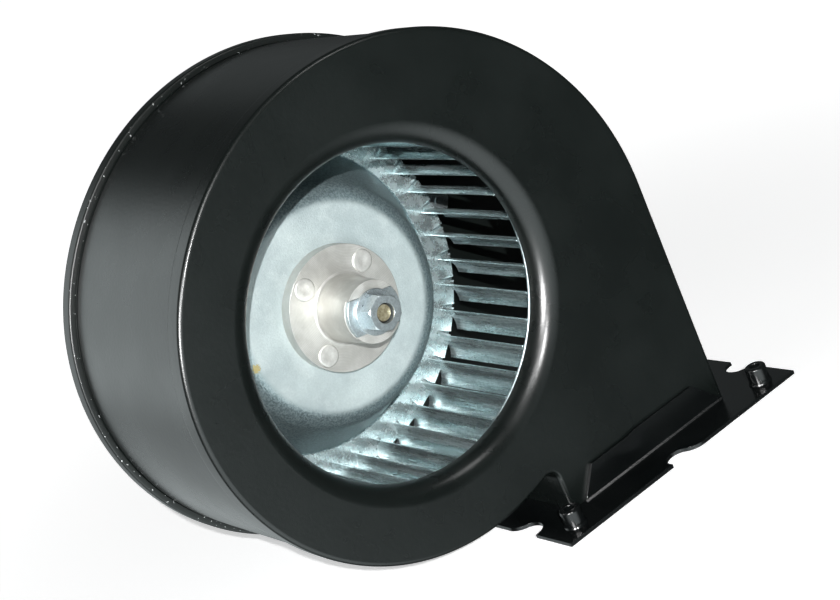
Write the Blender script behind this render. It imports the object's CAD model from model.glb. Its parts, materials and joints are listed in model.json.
import json
import math
from itertools import pairwise

import bmesh
import bpy
from mathutils import Matrix, Vector


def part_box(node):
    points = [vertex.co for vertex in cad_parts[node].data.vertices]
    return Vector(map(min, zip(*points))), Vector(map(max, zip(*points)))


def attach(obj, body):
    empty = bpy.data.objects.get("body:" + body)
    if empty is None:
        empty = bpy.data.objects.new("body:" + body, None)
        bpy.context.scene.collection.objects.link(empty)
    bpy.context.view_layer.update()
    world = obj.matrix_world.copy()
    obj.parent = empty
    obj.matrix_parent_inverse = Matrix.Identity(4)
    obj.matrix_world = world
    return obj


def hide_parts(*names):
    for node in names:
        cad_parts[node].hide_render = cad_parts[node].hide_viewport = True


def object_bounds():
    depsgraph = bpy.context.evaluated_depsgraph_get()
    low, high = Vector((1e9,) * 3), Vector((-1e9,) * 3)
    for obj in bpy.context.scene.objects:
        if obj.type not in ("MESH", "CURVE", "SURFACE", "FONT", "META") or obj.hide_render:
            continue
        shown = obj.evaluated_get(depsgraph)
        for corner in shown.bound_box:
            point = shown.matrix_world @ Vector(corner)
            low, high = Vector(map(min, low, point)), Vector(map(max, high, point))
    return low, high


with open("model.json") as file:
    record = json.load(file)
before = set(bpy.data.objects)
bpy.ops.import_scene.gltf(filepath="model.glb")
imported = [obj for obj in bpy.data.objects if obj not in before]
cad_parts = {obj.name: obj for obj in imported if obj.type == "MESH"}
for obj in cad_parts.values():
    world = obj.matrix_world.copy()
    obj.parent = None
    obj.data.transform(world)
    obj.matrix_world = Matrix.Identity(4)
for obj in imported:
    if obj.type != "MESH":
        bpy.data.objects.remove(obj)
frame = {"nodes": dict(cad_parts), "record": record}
cad_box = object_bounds()
MM = 0.001


# ---------------------------------------------------------------- camera
# The blower is seen from the front left and a little above, with the camera rolled so
# that the outlet points down to the right.
shaft_low, shaft_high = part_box("shaft")
shaft_front = Vector(((shaft_low.x + shaft_high.x) / 2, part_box("front_plate")[0].y,
                      (shaft_low.z + shaft_high.z) / 2))
camera_from_inlet = Vector((-0.26186, -0.48337, 0.18836))
camera_turn, camera_dip, camera_roll = -29.02, 18.68, -23.7
camera_data = bpy.data.cameras.new("camera")
camera_data.lens = 87.7
camera_data.clip_start = 0.01
camera = bpy.data.objects.new("camera", camera_data)
camera.matrix_world = (Matrix.Translation(shaft_front + camera_from_inlet)
                       @ Matrix.Rotation(math.radians(camera_turn), 4, "Z")
                       @ Matrix.Rotation(math.radians(90 - camera_dip), 4, "X")
                       @ Matrix.Rotation(math.radians(camera_roll), 4, "Z"))
bpy.context.scene.collection.objects.link(camera)
bpy.context.scene.camera = camera


# ---------------------------------------------------------------- studio
# A small hard lamp beside the camera lights the blower. Three cards and the glows of a dim
# room are there to be mirrored in it. The camera sees the room white, and the floor keeps
# the blower's shadow.
bpy.context.scene.view_settings.view_transform = "Standard"


class Signal:
    """A socket of a node tree that takes part in Python arithmetic."""

    def __init__(self, network, socket):
        self.network, self.socket = network, socket

    def _math(self, operation, *values):
        return self.network.node("ShaderNodeMath", {"operation": operation},
                                 dict(enumerate(values)))

    def __add__(self, other):
        return self._math("ADD", self, other)

    def __sub__(self, other):
        return self._math("SUBTRACT", self, other)

    def __rsub__(self, other):
        return self._math("SUBTRACT", other, self)

    def __mul__(self, other):
        return self._math("MULTIPLY", self, other)

    __radd__ = __add__
    __rmul__ = __mul__

    def rise(self, low, high):
        """0 below low, 1 above high and smooth between them."""
        return self.network.node("ShaderNodeMapRange", {"interpolation_type": "SMOOTHSTEP"},
                                 {"Value": self, "From Min": low, "From Max": high})

    def near(self, middle, width):
        """1 at the middle, falling to 0 at a distance of width."""
        return self._math("ABSOLUTE", self - middle).rise(width, 0)


class Network:
    """A node tree, with one method that makes any of its nodes."""

    def __init__(self, tree):
        self.tree = tree
        tree.nodes.clear()

    def node(self, kind, settings=None, values=None, output=0):
        """A new node with its settings and its sockets' values or links."""
        made = self.tree.nodes.new(kind)
        for name, setting in (settings or {}).items():
            setattr(made, name, setting)
        for name, value in (values or {}).items():
            if isinstance(value, Signal):
                self.tree.links.new(value.socket, made.inputs[name])
            else:
                made.inputs[name].default_value = value
        return Signal(self, made.outputs[output]) if made.outputs else None


# each glow: its direction, the cosines of its outer and its full edge, and its strength
room_level = 0.06
room_glows = [((-0.51, 0.83, 0.20), 0.86, 0.97, 1.75),
              ((-0.23, 0.83, -0.50), 0.84, 0.95, 0.85),
              ((-0.45, -0.70, -0.55), 0.48, 0.95, 2.3),
              ((0.45, 0.83, 0.32), 0.965, 0.995, 0.12)]
matt_share = 0.3
room_tint = (0.90, 0.99, 1.0, 1)
white = (1, 1, 1, 1)
world = bpy.data.worlds.new("studio")
world.use_nodes = True
bpy.context.scene.world = world
room = Network(world.node_tree)
towards = room.node("ShaderNodeTexCoord", output="Generated")
glows = 0
for axis, edge, core, strength in room_glows:
    facing = room.node("ShaderNodeVectorMath", {"operation": "DOT_PRODUCT"},
                       {0: towards, 1: Vector(axis).normalized()}, "Value")
    glows = facing.rise(edge, core) * strength + glows
mirrored = room.node("ShaderNodeLightPath", output="Is Glossy Ray")
room_light = (room_level + glows) * (matt_share + (1 - matt_share) * mirrored)
seen = room.node("ShaderNodeLightPath", output="Is Camera Ray")
backdrop = room.node("ShaderNodeBackground", {}, {
    "Color": room.node("ShaderNodeMix", {"data_type": "RGBA"},
                       {0: seen, 6: room_tint, 7: white}, 2),
    "Strength": seen + (1 - seen) * room_light})
room.node("ShaderNodeOutputWorld", {}, {"Surface": backdrop})


def lamp(name, direction, distance, size, power):
    """A round lamp in this direction from the inlet, turned towards it."""
    data = bpy.data.lights.new(name, "AREA")
    data.shape = "DISK"
    data.size = size
    data.energy = power
    lit = bpy.data.objects.new(name, data)
    where = Vector(direction).normalized() * distance
    lit.matrix_world = (Matrix.Translation(shaft_front + where)
                        @ where.to_track_quat("Z", "Y").to_matrix().to_4x4())
    bpy.context.scene.collection.objects.link(lit)
    return lit


lamp("key", (-0.401, -0.830, 0.386), 1.13, 0.012, 16.0)
card_distance = 0.9
for name, direction, size, power in (("side_card", (-0.78, -0.55, 0.26), 0.30, 22),
                                     ("top_card", (-0.40, -0.66, 0.64), 0.30, 2.5),
                                     ("edge_card", (0.45, -0.55, 0.70), 0.25, 1.2)):
    lamp(name, direction, card_distance, size, power).visible_diffuse = False

# the floor: matt white, lifted a little near the blower and to full white farther out
floor_reach = 4.0
near_lift, far_lift = 0.55, 0.42
floor_material = bpy.data.materials.new("floor")
floor_material.use_nodes = True
ground = Network(floor_material.node_tree)
seen = ground.node("ShaderNodeLightPath", output="Is Camera Ray")
matt = ground.node("ShaderNodeBsdfDiffuse", {}, {"Color": (0.85, 0.85, 0.85, 1)})
away = ground.node("ShaderNodeVectorMath", {"operation": "LENGTH"},
                   {0: ground.node("ShaderNodeTexCoord", output="Object")}, "Value")
lift = ground.node("ShaderNodeEmission", {}, {
    "Color": white, "Strength": seen * (near_lift + far_lift * away.rise(0.10, 0.50))})
ground.node("ShaderNodeOutputMaterial", {},
            {"Surface": ground.node("ShaderNodeAddShader", {}, {0: matt, 1: lift})})
floor_mesh = bpy.data.meshes.new("floor")
floor_mesh.from_pydata([(x * floor_reach, y * floor_reach, cad_box[0].z)
                        for x, y in ((-1, -1), (1, -1), (1, 1), (-1, 1))],
                       [], [(0, 1, 2, 3)])
floor_mesh.materials.append(floor_material)
floor = bpy.data.objects.new("floor", floor_mesh)
floor.visible_glossy = False
bpy.context.scene.collection.objects.link(floor)


# ---------------------------------------------------------------- front cover
# The inlet side of the scroll housing: sheet steel drawn to a bell mouth, with its edge
# turned over the wrapper. It is dipped in satin black paint with the rest.
record = frame["record"]
merge_gap = 0.002 * MM
body_of = {node: body for body, nodes in record["behaviour"]["bodies"].items()
           for node in nodes}
slot_of = {part["node"]: part["material_slot"] for part in record["subparts"]}


class Finish(Network):
    """A material that reads Object coordinates, in metres."""

    def __init__(self, name):
        self.material = bpy.data.materials.new(name)
        self.material.use_nodes = True
        super().__init__(self.material.node_tree)
        self.place = self.node("ShaderNodeTexCoord", output="Object")

    def across_shaft(self):
        """The place seen along the shaft, measured from its axis."""
        centred = self.node("ShaderNodeMapping", {}, {"Vector": self.place,
                                                      "Location": -shaft_front})
        return self.node("ShaderNodeVectorMath", {"operation": "MULTIPLY"},
                         {0: centred, 1: (1, 0, 1)})

    def from_shaft(self):
        """The distance from the shaft's axis."""
        return self.node("ShaderNodeVectorMath", {"operation": "LENGTH"},
                         {0: self.across_shaft()}, "Value")

    def along_shaft(self):
        """The place's Y, measured from the frame's origin."""
        return self.node("ShaderNodeSeparateXYZ", {}, {0: self.place}, "Y")

    def noise(self, per_metre, detail=2.0, rough=0.5, place=None):
        return self.node("ShaderNodeTexNoise", {}, {"Vector": place or self.place,
                                                    "Scale": per_metre, "Detail": detail,
                                                    "Roughness": rough})

    def blend(self, mask, low, high):
        return self.node("ShaderNodeMix", {"data_type": "RGBA"}, {0: mask, 6: low, 7: high}, 2)

    def bump(self, height, depth):
        return self.node("ShaderNodeBump", {}, {"Height": height, "Distance": depth})

    def surface(self, **values):
        shader = self.node("ShaderNodeBsdfPrincipled", {},
                           {name.replace("_", " "): value for name, value in values.items()})
        self.node("ShaderNodeOutputMaterial", {}, {"Surface": shader})
        return self.material


def coat(name, roughness, dark, pale, chipped_at=None):
    """Black paint with a fine orange peel, faint clouds and chips along one depth."""
    paint = Finish(name)
    peel = paint.noise(900, 3, 0.6)
    cloud = paint.noise(26, 4, 0.6).rise(0.3, 0.7)
    colour = paint.blend(cloud, dark, pale)
    if chipped_at is not None:
        edge = paint.along_shaft().near(shaft_front.y + chipped_at * MM, 0.7 * MM)
        chips = edge.rise(0.2, 0.5) * paint.noise(900, 2, 0.6).rise(0.67, 0.70)
        colour = paint.blend(chips, colour, (0.60, 0.62, 0.63, 1))
    return paint.surface(Base_Color=colour, IOR=1.45,
                         Roughness=roughness + 0.07 * cloud,
                         Normal=paint.bump(peel, 0.00003))


def on_shaft(x, y, depth):
    """A point seen from the inlet: x right, y down, depth behind the cover's face."""
    return shaft_front + Vector((x, depth, -y)) * MM


def stand_in(made, *nodes):
    """Puts a finished object on the body and in the slot of the nodes it stands for."""
    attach(made, body_of[nodes[0]])
    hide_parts(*nodes)
    return made


def piece(name, shape, finish, *nodes):
    """Makes a drawn shape an object, which stands for the nodes if any are given."""
    bmesh.ops.remove_doubles(shape, verts=shape.verts, dist=merge_gap)
    mesh = bpy.data.meshes.new(name)
    shape.to_mesh(mesh)
    shape.free()
    if "custom_normal" in mesh.attributes:
        mesh.attributes.remove(mesh.attributes["custom_normal"])
    mesh.shade_smooth()
    mesh.materials.append(finish)
    made = bpy.data.objects.new(name, mesh)
    bpy.context.scene.collection.objects.link(made)
    return stand_in(made, *nodes) if nodes else made


def thicken(made, thickness):
    """Gives an open shell the thickness of its sheet, inwards."""
    wall = made.modifiers.new("sheet", "SOLIDIFY")
    wall.thickness = thickness * MM
    wall.offset = -1
    wall.use_even_offset = True


def crisp(made, width, angle=35):
    """Rounds the edges by width and keeps the flats flat."""
    edge = made.modifiers.new("edges", "BEVEL")
    edge.width = width * MM
    edge.segments = 2
    edge.limit_method = "ANGLE"
    edge.angle_limit = math.radians(angle)
    flats = made.modifiers.new("flats", "WEIGHTED_NORMAL")
    flats.keep_sharp = True


def face_way(shape, depth, y_sign):
    """Turns an open shell so that its flat at this depth faces along y_sign."""
    bmesh.ops.recalc_face_normals(shape, faces=shape.faces)
    level = shaft_front.y + depth * MM
    flat = max((face for face in shape.faces
                if all(abs(vert.co.y - level) < 0.01 * MM for vert in face.verts)),
               key=lambda face: face.calc_area())
    if flat.normal.y * y_sign < 0:
        bmesh.ops.reverse_faces(shape, faces=shape.faces)


def ring_of(shape, radius, depth, steps, centre=(0, 0)):
    """A circle of points at a depth, about the shaft or another centre."""
    return [shape.verts.new(on_shaft(centre[0] + radius * math.cos(turn * math.tau / steps),
                                     centre[1] + radius * math.sin(turn * math.tau / steps),
                                     depth)) for turn in range(steps)]


def loft(shape, rows, closed):
    """Quads between rows of as many points each."""
    for row, following in pairwise(rows):
        for k in range(len(row) if closed else len(row) - 1):
            after = (k + 1) % len(row)
            shape.faces.new((row[k], row[after], following[after], following[k]))


def fill(shape, loops):
    """Closes a flat face between an outer loop and its holes."""
    edges = []
    for loop in loops:
        for k, vert in enumerate(loop):
            pair = (vert, loop[(k + 1) % len(loop)])
            edges.append(shape.edges.get(pair) or shape.edges.new(pair))
    bmesh.ops.triangle_fill(shape, use_beauty=True, use_dissolve=False, edges=edges)


# the scroll: tongue, arc about the shaft, wide arc and the two walls of the neck
scroll_r, wide_r, wide_start = 72.0, 83.8, 216
neck_w, tongue_r = 68, 3.0
cover_low, cover_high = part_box("front_plate")
neck_right = (cover_high.x - shaft_front.x) / MM
neck_left = neck_right - neck_w
neck_end = (shaft_front.z - cover_low.z) / MM
wide_c = Vector((neck_right - wide_r, (wide_r - scroll_r) * math.sin(math.radians(wide_start - 180))))
tongue_c = Vector((neck_left - tongue_r,
                   math.sqrt((scroll_r + tongue_r) ** 2 - (neck_left - tongue_r) ** 2)))
tongue_end = math.degrees(math.atan2(tongue_c.y, tongue_c.x))


def arc(centre, radius, start, end, steps, side=1):
    """Points of an arc in degrees, each with its direction outwards."""
    for k in range(steps + 1):
        angle = math.radians(start + (end - start) * k / steps)
        out = Vector((math.cos(angle), math.sin(angle)))
        yield centre + radius * out, side * out


scroll_path = [(Vector((neck_left, neck_end)), Vector((-1, 0))),
               *arc(tongue_c, tongue_r, 0, tongue_end - 180, 12, -1),
               *list(arc(Vector((0, 0)), scroll_r, tongue_end, wide_start, 90))[1:],
               *list(arc(wide_c, wide_r, wide_start, 360, 100))[1:],
               (Vector((neck_right, neck_end)), Vector((1, 0)))]


def scroll_row(shape, off, depth):
    """The outline moved out by off, at a depth."""
    return [shape.verts.new(on_shaft(*(point + off * out), depth))
            for point, out in scroll_path]


sheet = 0.8
bell_r, throat_r = 6.4, 49.0
corner_r, lip_l = 1.4, 6.9
black, worn_black = (0.0042, 0.0062, 0.0056, 1), (0.0058, 0.0082, 0.0075, 1)
cover_paint = coat("cover_paint", 0.25, black, worn_black)
shape = bmesh.new()
edge_rows = [scroll_row(shape, corner_r * (math.sin(turn) - 1), corner_r * (1 - math.cos(turn)))
             for turn in (math.radians(15 * k) for k in range(7))]
edge_rows += [scroll_row(shape, -drop, lip_l - short)  # the lip's end, rolled in
              for drop, short in ((0, 1.0), (0.05, 0.6), (0.2, 0.2), (0.45, 0))]
loft(shape, edge_rows, False)
bell_rows = [ring_of(shape, throat_r + bell_r * (1 - math.sin(turn)),
                     bell_r * (1 - math.cos(turn)), 144)
             for turn in (math.radians(9 * k) for k in range(11))]
loft(shape, bell_rows, True)
fill(shape, [edge_rows[0], bell_rows[0]])
face_way(shape, 0, -1)
front_cover = piece("front_cover", shape, cover_paint, "front_plate")
thicken(front_cover, sheet)
crisp(front_cover, 0.12, 50)


# ---------------------------------------------------------------- wrapper
# The curved wall of the housing: one strip of sheet steel, rolled round the scroll and
# folded back at the tongue, held between the lips of the two covers.
housing_depth = 72.0
wrapper_off = -0.85
shape = bmesh.new()
# a shallow groove is crimped in beside the seam of the back cover
crimp = [(0, corner_r), (0, 65.6), (-0.15, 65.8), (-0.5, 66.1), (-0.5, 66.9), (-0.15, 67.2),
         (0, 67.4), (0, housing_depth - sheet)]
loft(shape, [scroll_row(shape, wrapper_off + off, depth) for off, depth in crimp], False)
bmesh.ops.recalc_face_normals(shape, faces=shape.faces)
on_scroll = shape.faces[:][20]
if on_scroll.normal.dot(on_scroll.calc_center_median() - shaft_front) < 0:
    bmesh.ops.reverse_faces(shape, faces=shape.faces)
wrapper = piece("wrapper", shape, cover_paint, "scroll_wrapper")
thicken(wrapper, sheet)
crisp(wrapper, 0.12, 50)


# ---------------------------------------------------------------- back cover
# The motor side of the housing: flat sheet steel with the opening that the wheel goes in
# through. Its edge is rolled over the wrapper's flange to a seam that stands proud.
seam_start = 67.0
back_opening_r = 62.0
plate_screw_circle = 65.5
screw_hole_r = 2.1
back_paint = coat("back_paint", 0.34, black, worn_black, seam_start)
seam_profile = [(-0.8, seam_start), (0.6, seam_start), (1.0, 67.2), (1.2, 67.7),
                (1.2, 71.2), (1.05, 71.7), (0.6, housing_depth)]
shape = bmesh.new()
seam_rows = [scroll_row(shape, off, depth) for off, depth in seam_profile]
loft(shape, seam_rows, False)
fill(shape, [seam_rows[-1], ring_of(shape, back_opening_r, housing_depth, 144)]
     + [ring_of(shape, screw_hole_r, housing_depth, 16,
                (plate_screw_circle * x, plate_screw_circle * y))
        for x, y in ((1, 0), (0, 1), (-1, 0), (0, -1))])
face_way(shape, housing_depth, 1)
back_cover = piece("back_cover", shape, back_paint, "back_plate")
thicken(back_cover, sheet)
crisp(back_cover, 0.12, 50)


# ---------------------------------------------------------------- outlet flange
# A square plate with hook notches and two turned-up tabs, spot welded to the neck, and
# four threaded bushes for the duct's screws. Both are under a glossier coat of paint.
flange_paint = coat("flange_paint", 0.16, (0.0030, 0.0038, 0.0040, 1),
                    (0.0055, 0.0068, 0.0068, 1))


def soften(node, width, finish):
    """A copy of a CAD piece with its edges rounded by width."""
    shape = bmesh.new()
    shape.from_mesh(frame["nodes"][node].data)
    bmesh.ops.remove_doubles(shape, verts=shape.verts, dist=merge_gap)
    bmesh.ops.dissolve_limit(shape, angle_limit=math.radians(0.6), verts=shape.verts,
                             edges=shape.edges)
    for edge in shape.edges:
        edge.smooth = True
    made = piece(node + "_finished", shape, finish, node)
    crisp(made, width)
    return made


soften("outlet_flange", 0.25, flange_paint)
soften("flange_bushes", 0.35, flange_paint)


# ---------------------------------------------------------------- motor plate
# The round plate that carries the motor: galvanised sheet drawn to a cup, held on the
# back cover by four screws with nuts.
def zinc(name, dark, pale, roughness, spangle_size=420, relief=0.00005):
    """Zinc on steel, with its crystals, clouds and fine scratches."""
    metal = Finish(name)
    spangle = metal.noise(spangle_size, 3, 0.65)
    cloud = metal.noise(60, 3, 0.6).rise(0.25, 0.75)
    return metal.surface(Base_Color=metal.blend(spangle.rise(0.3, 0.7), dark, pale),
                         Metallic=0.85, Roughness=roughness + 0.16 * cloud,
                         Normal=metal.bump(spangle, relief))


plate_zinc = zinc("plate_zinc", (0.40, 0.47, 0.50, 1), (0.62, 0.70, 0.73, 1), 0.30)
bright_zinc = zinc("bright_zinc", (0.38, 0.43, 0.45, 1), (0.54, 0.60, 0.62, 1), 0.24, 1600,
                   0.000003)
soften("motor_plate", 0.25, plate_zinc)
soften("plate_screws", 0.2, bright_zinc)
soften("plate_nuts", 0.25, bright_zinc)


# ---------------------------------------------------------------- motor
# A two-pole direct-current motor: a drawn steel can with ferrite magnets, an armature, a
# moulded end cap with the brushes, and two bolts that hold the can to the motor plate.
def plain(name, dark, pale, metallic, roughness, grain=900):
    """A fine-grained finish for the small pieces of the motor."""
    stuff = Finish(name)
    speck = stuff.noise(grain, 3, 0.6)
    return stuff.surface(Base_Color=stuff.blend(speck.rise(0.3, 0.7), dark, pale),
                         Metallic=metallic, Roughness=roughness + 0.12 * speck,
                         Normal=stuff.bump(speck, 0.00004))


motor_steel = zinc("motor_steel", (0.44, 0.50, 0.52, 1), (0.60, 0.66, 0.68, 1), 0.28, 1500)
finishes = {
    "black_plastic": plain("black_plastic", (0.012, 0.012, 0.013, 1),
                           (0.022, 0.022, 0.023, 1), 0.0, 0.45, 1400),
    "ferrite": plain("ferrite", (0.030, 0.030, 0.033, 1), (0.060, 0.060, 0.065, 1), 0.0, 0.62),
    "bearing_steel": plain("bearing_steel", (0.50, 0.51, 0.52, 1),
                           (0.68, 0.69, 0.70, 1), 1.0, 0.16),
    "laminate": plain("laminate", (0.17, 0.085, 0.035, 1), (0.27, 0.15, 0.07, 1), 0.0, 0.5),
    "brass": plain("brass", (0.52, 0.36, 0.12, 1), (0.68, 0.49, 0.20, 1), 1.0, 0.26),
    "carbon": plain("carbon", (0.014, 0.014, 0.015, 1), (0.035, 0.035, 0.036, 1), 0.1, 0.55),
    "lamination_steel": plain("lamination_steel", (0.17, 0.17, 0.18, 1),
                              (0.32, 0.32, 0.33, 1), 0.9, 0.34),
    "copper": plain("copper", (0.50, 0.20, 0.08, 1), (0.70, 0.33, 0.16, 1), 1.0, 0.3),
    "zinc_steel": bright_zinc, "galvanised": plate_zinc}
soften("motor_can", 0.3, motor_steel)
soften("end_cap", 0.4, finishes["black_plastic"])
soften("terminals", 0.15, finishes["brass"])
soften("through_bolts", 0.2, bright_zinc)
soften("bolt_nuts", 0.25, bright_zinc)
for node in ("magnets", "front_bearing", "rear_bearing", "brush_plate", "brush_holders",
             "brushes", "brush_springs", "armature_core", "windings", "commutator",
             "thrust_washers", "drive_pin"):
    inner = frame["nodes"][node].data
    inner.materials.clear()
    inner.materials.append(finishes[slot_of[node]])


# ---------------------------------------------------------------- wheel disc
# Galvanised sheet drawn to a dome that holds the motor. The flat keeps its matt zinc, the
# flank is burnished by the die, and a dab of paint marks the balancing.
dome_top, disc_t = 37.0, 0.8
dome_base_r, rim_r, wheel_rear = 46.9, 56.8, 58.6
shoulder_r, flank_slope = 8.0, 28
flank = math.radians(flank_slope)
shoulder_c = Vector((dome_base_r + ((dome_top + shoulder_r - wheel_rear) * math.sin(flank)
                                    - shoulder_r) / math.cos(flank), dome_top + shoulder_r))

sheet_zinc = Finish("disc_zinc")
burnish = sheet_zinc.from_shaft().rise(0.0305, 0.0335)
cloud = sheet_zinc.noise(55, 4, 0.62).rise(0.32, 0.70)
crystal = sheet_zinc.noise(1500, 3, 0.7).rise(0.34, 0.66)
rub = sheet_zinc.noise(130, 4, 0.7).rise(0.50, 0.68)
matt_zinc = sheet_zinc.blend(cloud, (0.44, 0.52, 0.53, 1), (0.60, 0.69, 0.69, 1))
matt_zinc = sheet_zinc.blend(rub * 0.25, matt_zinc, (0.76, 0.83, 0.82, 1))
matt_zinc = sheet_zinc.blend(crystal * 0.2, matt_zinc, (0.36, 0.43, 0.44, 1))
drawn_zinc = sheet_zinc.blend(crystal, (0.17, 0.23, 0.24, 1), (0.36, 0.45, 0.47, 1))
colour = sheet_zinc.blend(burnish, matt_zinc, drawn_zinc)
dab_at = Vector((-32.4, 0, -2.4)) * MM
dab = sheet_zinc.node("ShaderNodeVectorMath", {"operation": "DISTANCE"},
                      {0: sheet_zinc.across_shaft(), 1: dab_at}, "Value")
dab = (dab + 0.0009 * crystal).rise(0.0019, 0.0014)
colour = sheet_zinc.blend(dab, colour, (0.40, 0.34, 0.15, 1))
disc_zinc = sheet_zinc.surface(
    Base_Color=colour, Metallic=0.35 + 0.3 * burnish - 0.3 * dab,
    Roughness=0.50 - 0.22 * burnish + 0.10 * crystal,
    Normal=sheet_zinc.bump(crystal, 0.00003))

# from the hub's hole over the shallow ring pressed round the hub, the shoulder and the
# flank to the rim
shape = bmesh.new()
disc_hole_r, base_bend = 9.95, 0.6
profile = [(disc_hole_r, dome_top), (20.4, dome_top), (21.6, dome_top + 0.06),
           (23.5, dome_top - 0.12), (26.0, dome_top - 0.05), (28.0, dome_top)]
profile += [(shoulder_c.x + shoulder_r * math.sin(turn),
             shoulder_c.y - shoulder_r * math.cos(turn))
            for turn in (math.radians((90 - flank_slope) * k / 10) for k in range(11))]
profile += [(dome_base_r - base_bend * math.tan(flank), wheel_rear - base_bend),
            (dome_base_r + 0.15, wheel_rear - 0.1), (dome_base_r + base_bend, wheel_rear),
            (rim_r, wheel_rear)]
loft(shape, [ring_of(shape, radius, depth, 128) for radius, depth in profile], True)
face_way(shape, wheel_rear, -1)
wheel_disc = piece("wheel_disc_drawn", shape, disc_zinc, "wheel_disc")
thicken(wheel_disc, disc_t)
crisp(wheel_disc, 0.1, 50)


# ---------------------------------------------------------------- blade drum
# Forty blades lanced from one galvanised strip and curved forward. The strip's flange
# lies on the rim of the disc, with a torn slot behind the root of each blade.
blade_count, blade_turn = 40, 4.0
blade_c_r, blade_arc_r, blade_t = 52.79, 7.5, 0.6
blade_front, slot_root_r, slot_half = 12.0, 51.8, 0.6
root_angle, arc_sweep = -100.1, 83.0
strip_in_r = dome_base_r + 0.4
slot_turn = blade_turn - 9.367

strip_zinc = Finish("strip_zinc")
drawn_out = strip_zinc.node("ShaderNodeMapping", {}, {"Vector": strip_zinc.place,
                                                      "Scale": (1, 0.07, 1)})
on_blade = 1 - strip_zinc.along_shaft().rise(shaft_front.y + 57.0 * MM,
                                             shaft_front.y + 57.6 * MM)
flake = strip_zinc.noise(900, 3, 0.7).rise(0.34, 0.66)
patch = strip_zinc.noise(330, 4, 0.7, drawn_out).rise(0.38, 0.66)
streak = strip_zinc.noise(650, 4, 0.75, drawn_out).rise(0.35, 0.65)
colour = strip_zinc.blend(patch, (0.54, 0.64, 0.65, 1), (0.80, 0.89, 0.90, 1))
colour = strip_zinc.blend(streak * (0.15 + 0.6 * on_blade), colour, (0.16, 0.24, 0.25, 1))
colour = strip_zinc.blend(flake * 0.35, colour, (0.86, 0.94, 0.95, 1))
blade_zinc = strip_zinc.surface(
    Base_Color=colour, Metallic=0.82, Roughness=0.18 + 0.12 * patch + 0.08 * streak,
    Normal=strip_zinc.bump(streak * on_blade + 0.4 * flake, 0.00002))


def turned(radius, angle, depth):
    """A point at a radius and an angle in degrees about the shaft."""
    return on_shaft(radius * math.cos(math.radians(angle)),
                    radius * math.sin(math.radians(angle)), depth)


# one blade: its curved section, closed at both ends, with a rounded root edge
unit = bmesh.new()
blade_c = Vector((math.cos(math.radians(blade_turn)),
                  math.sin(math.radians(blade_turn)))) * blade_c_r
section = []
for radius, steps in ((blade_arc_r, range(9)), (blade_arc_r - blade_t, range(8, -1, -1))):
    for k in steps:
        angle = math.radians(blade_turn + root_angle + arc_sweep * k / 8)
        section.append(blade_c + radius * Vector((math.cos(angle), math.sin(angle))))
root = math.radians(blade_turn + root_angle - 2.2)
section.append(blade_c + (blade_arc_r - blade_t / 2) * Vector((math.cos(root),
                                                               math.sin(root))))
rows = [[unit.verts.new(on_shaft(*point, depth)) for point in section]
        for depth in (blade_front, wheel_rear - 0.4)]
loft(unit, rows, True)
for row in rows:
    unit.faces.new(row)

# its share of the strip's flange, open towards the neighbours, with the slot's torn edges
pitch, torn_lift = 360 / blade_count, 0.5
front_grid, rear_grid = [], []
for radius in (strip_in_r, 49.6, slot_root_r, 53.4, 55.2, rim_r):
    gap = max(radius - slot_root_r, 0) / (rim_r - slot_root_r)
    half = math.degrees(slot_half * gap / radius)
    angles = [half, 0.7 + half, 2.6, 4.5, 6.4, pitch - 0.6 - half, pitch - half]
    lifts = [torn_lift * gap ** 0.5 * edge for edge in (1, 0, 0, 0, 0, 0.1, 0.7)]
    front_grid.append([unit.verts.new(turned(radius, slot_turn + angle,
                                             wheel_rear - disc_t - lift))
                       for angle, lift in zip(angles, lifts)])
    rear_grid.append([unit.verts.new(turned(radius, slot_turn + angle, wheel_rear - lift))
                      for angle, lift in zip(angles, lifts)])
loft(unit, front_grid, False)
loft(unit, rear_grid, False)
for edge in (0, -1):
    loft(unit, [front_grid[edge], rear_grid[edge]], False)
    loft(unit, [[row[edge] for row in front_grid[2:]], [row[edge] for row in rear_grid[2:]]],
         False)

# the pattern: copies of a unit, turned about the shaft
copies = bpy.data.node_groups.new("copies_about_shaft", "GeometryNodeTree")
pattern = Network(copies)
ports = {}
for name, way, kind in (("Unit", "INPUT", "Geometry"), ("Copies", "INPUT", "Int"),
                        ("Shaft", "INPUT", "Vector"), ("Finish", "INPUT", "Material"),
                        ("Ring", "OUTPUT", "Geometry")):
    ports[name] = copies.interface.new_socket(name=name, in_out=way,
                                              socket_type="NodeSocket" + kind).identifier
given = copies.nodes.new("NodeGroupInput")
unit_in, copies_in, shaft_in, finish_in = (Signal(pattern, given.outputs[name])
                                           for name in ("Unit", "Copies", "Shaft", "Finish"))
at_origin = pattern.node("GeometryNodeTransform", {}, {
    "Geometry": unit_in, "Translation": pattern.node(
        "ShaderNodeVectorMath", {"operation": "SCALE"}, {0: shaft_in, "Scale": -1.0})})
points = pattern.node("GeometryNodePoints", {}, {"Count": copies_in, "Position": shaft_in})
step = pattern.node("ShaderNodeMath", {"operation": "DIVIDE"}, {0: math.tau, 1: copies_in})
spin = pattern.node("ShaderNodeCombineXYZ", {}, {
    "Y": step * pattern.node("GeometryNodeInputIndex")})
placed = pattern.node("GeometryNodeInstanceOnPoints", {}, {
    "Points": points, "Instance": at_origin, "Rotation": spin})
real = pattern.node("GeometryNodeRealizeInstances", {}, {"Geometry": placed})
done = pattern.node("GeometryNodeSetMaterial", {}, {"Geometry": real, "Material": finish_in})
pattern.node("NodeGroupOutput", {}, {"Ring": done})


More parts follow.
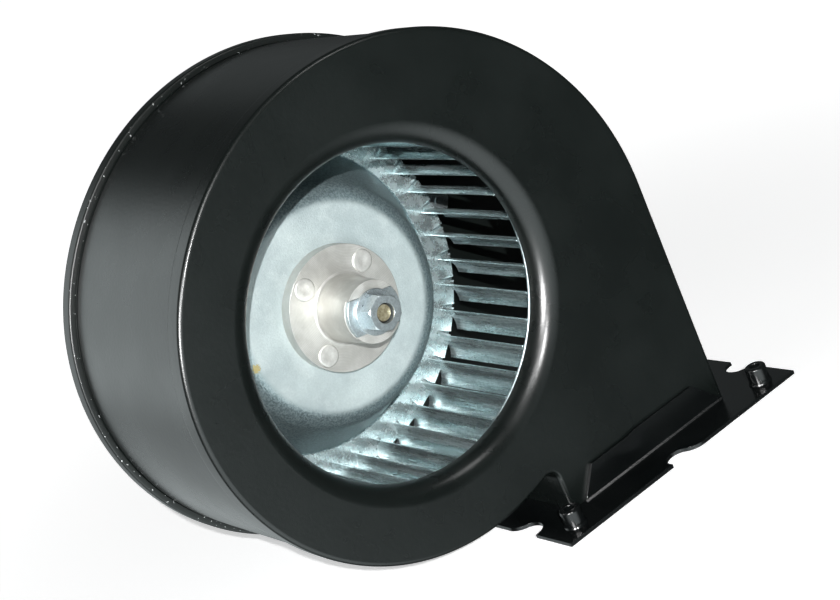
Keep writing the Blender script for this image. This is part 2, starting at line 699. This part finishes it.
def ring_pattern(name, unit, count, finish, *nodes):
    """Copies of a unit about the shaft, made one plain mesh that stands for the nodes."""
    bmesh.ops.recalc_face_normals(unit, faces=unit.faces)
    source = piece(name + "_unit", unit, finish)
    rule = source.modifiers.new("pattern", "NODES")
    rule.node_group = copies
    rule[ports["Copies"]] = count
    rule[ports["Shaft"]] = shaft_front
    rule[ports["Finish"]] = finish
    bpy.context.view_layer.update()
    mesh = bpy.data.meshes.new_from_object(
        source.evaluated_get(bpy.context.evaluated_depsgraph_get()))
    source.modifiers.remove(rule)
    bpy.data.objects.remove(source)
    whole = bmesh.new()
    whole.from_mesh(mesh)
    bpy.data.meshes.remove(mesh)
    return piece(name, whole, finish, *nodes)


drum = ring_pattern("blade_strip", unit, blade_count, blade_zinc, "blade_drum")
crisp(drum, 0.08, 50)


# ---------------------------------------------------------------- front ring
# A pressed ring of galvanised sheet that closes the front ends of the blades and is
# rolled back over their tips.
ring_front = 10.8
ring_profile = [(52.2, ring_front + 1.2), (52.1, ring_front + 0.5), (52.6, ring_front),
                (59.6, ring_front), (60.3, ring_front + 0.15), (60.62, ring_front + 0.8),
                (60.64, ring_front + 4.2), (60.08, ring_front + 4.2),
                (60.06, ring_front + 1.2)]
shape = bmesh.new()
rows = [ring_of(shape, radius, depth, 128) for radius, depth in ring_profile]
loft(shape, rows + [rows[0]], True)
bmesh.ops.recalc_face_normals(shape, faces=shape.faces)
ring_zinc = zinc("ring_zinc", (0.20, 0.24, 0.25, 1), (0.34, 0.39, 0.40, 1), 0.36)
front_ring = piece("front_ring_rolled", shape, ring_zinc, "front_ring")
crisp(front_ring, 0.1, 50)


# ---------------------------------------------------------------- hub
# Turned aluminium, riveted to the disc by its flange. A flat-sided washer sits between
# the two lips of the boss, under a plain washer and the nut on the end of the shaft.
bar = Finish("turned_aluminium")
tool_pitch, tool_wander = 0.00045, 0.00035
turning = bar.from_shaft() + tool_wander * bar.noise(240, 3, 0.6)
tool_marks = bar.node("ShaderNodeMath", {"operation": "SINE"},
                      {0: turning * (math.tau / tool_pitch)}) * 0.5 + 0.5
smear = bar.noise(170, 4, 0.65).rise(0.35, 0.7)
colour = bar.blend(smear, (0.52, 0.52, 0.49, 1), (0.66, 0.66, 0.63, 1))
colour = bar.blend(tool_marks * 0.45, colour, (0.46, 0.45, 0.42, 1))
aluminium = bar.surface(
    Base_Color=colour, Metallic=0.55, Roughness=0.33 + 0.10 * smear + 0.06 * tool_marks,
    Normal=bar.bump(tool_marks, 0.00002))
soften("hub", 0.25, aluminium)

rivet_circle, rivet_turn = 15.2, 50
rivet_low, rivet_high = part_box("hub_rivets")
head_top = (rivet_low.y - shaft_front.y) / MM
tail_end = (rivet_high.y - shaft_front.y) / MM
head_seat, tail_seat = head_top + 0.4, tail_end - 1.0
unit = bmesh.new()
rivet_c = Vector((math.cos(math.radians(rivet_turn)),
                  math.sin(math.radians(rivet_turn)))) * rivet_circle
rivet_r, tail_r = 2.0, 3.0
rivet_profile = [(0, head_top + 0.08), (1.4, head_top + 0.06), (1.7, head_top),
                 (2.9, head_top), (3.3, head_top + 0.1), (3.5, head_top + 0.3),
                 (3.5, head_seat), (rivet_r, head_seat), (rivet_r, tail_seat), (tail_r, tail_seat),
                 (2.9, tail_end - 0.4), (2.3, tail_end), (0, tail_end)]
loft(unit, [ring_of(unit, radius, depth, 32, rivet_c) for radius, depth in rivet_profile],
     True)
bmesh.ops.remove_doubles(unit, verts=unit.verts, dist=merge_gap)
rivet_metal = plain("rivet_aluminium", (0.58, 0.58, 0.55, 1), (0.70, 0.70, 0.67, 1),
                    0.55, 0.36, 700)
rivets = ring_pattern("rivets", unit, 4, rivet_metal, "hub_rivets")
crisp(rivets, 0.05, 40)

soften("lock_washer", 0.15, bright_zinc)
soften("plain_washer", 0.15, bright_zinc)
soften("hub_nut", 0.25, bright_zinc)

ground_steel = Finish("shaft_steel")
from_shaft = ground_steel.from_shaft()
thread = from_shaft.rise(0.0021, 0.0026) * (1 - from_shaft.rise(0.0031, 0.0034))
rub = ground_steel.noise(900, 4, 0.65).rise(0.3, 0.7)
colour = ground_steel.blend(rub, (0.30, 0.25, 0.15, 1), (0.56, 0.50, 0.34, 1))
colour = ground_steel.blend(thread, colour, (0.02, 0.018, 0.015, 1))
soften("shaft", 0.25, ground_steel.surface(
    Base_Color=colour, Metallic=0.8 - 0.5 * thread, Roughness=0.32 + 0.2 * thread,
    Normal=ground_steel.bump(rub, 0.00004)))
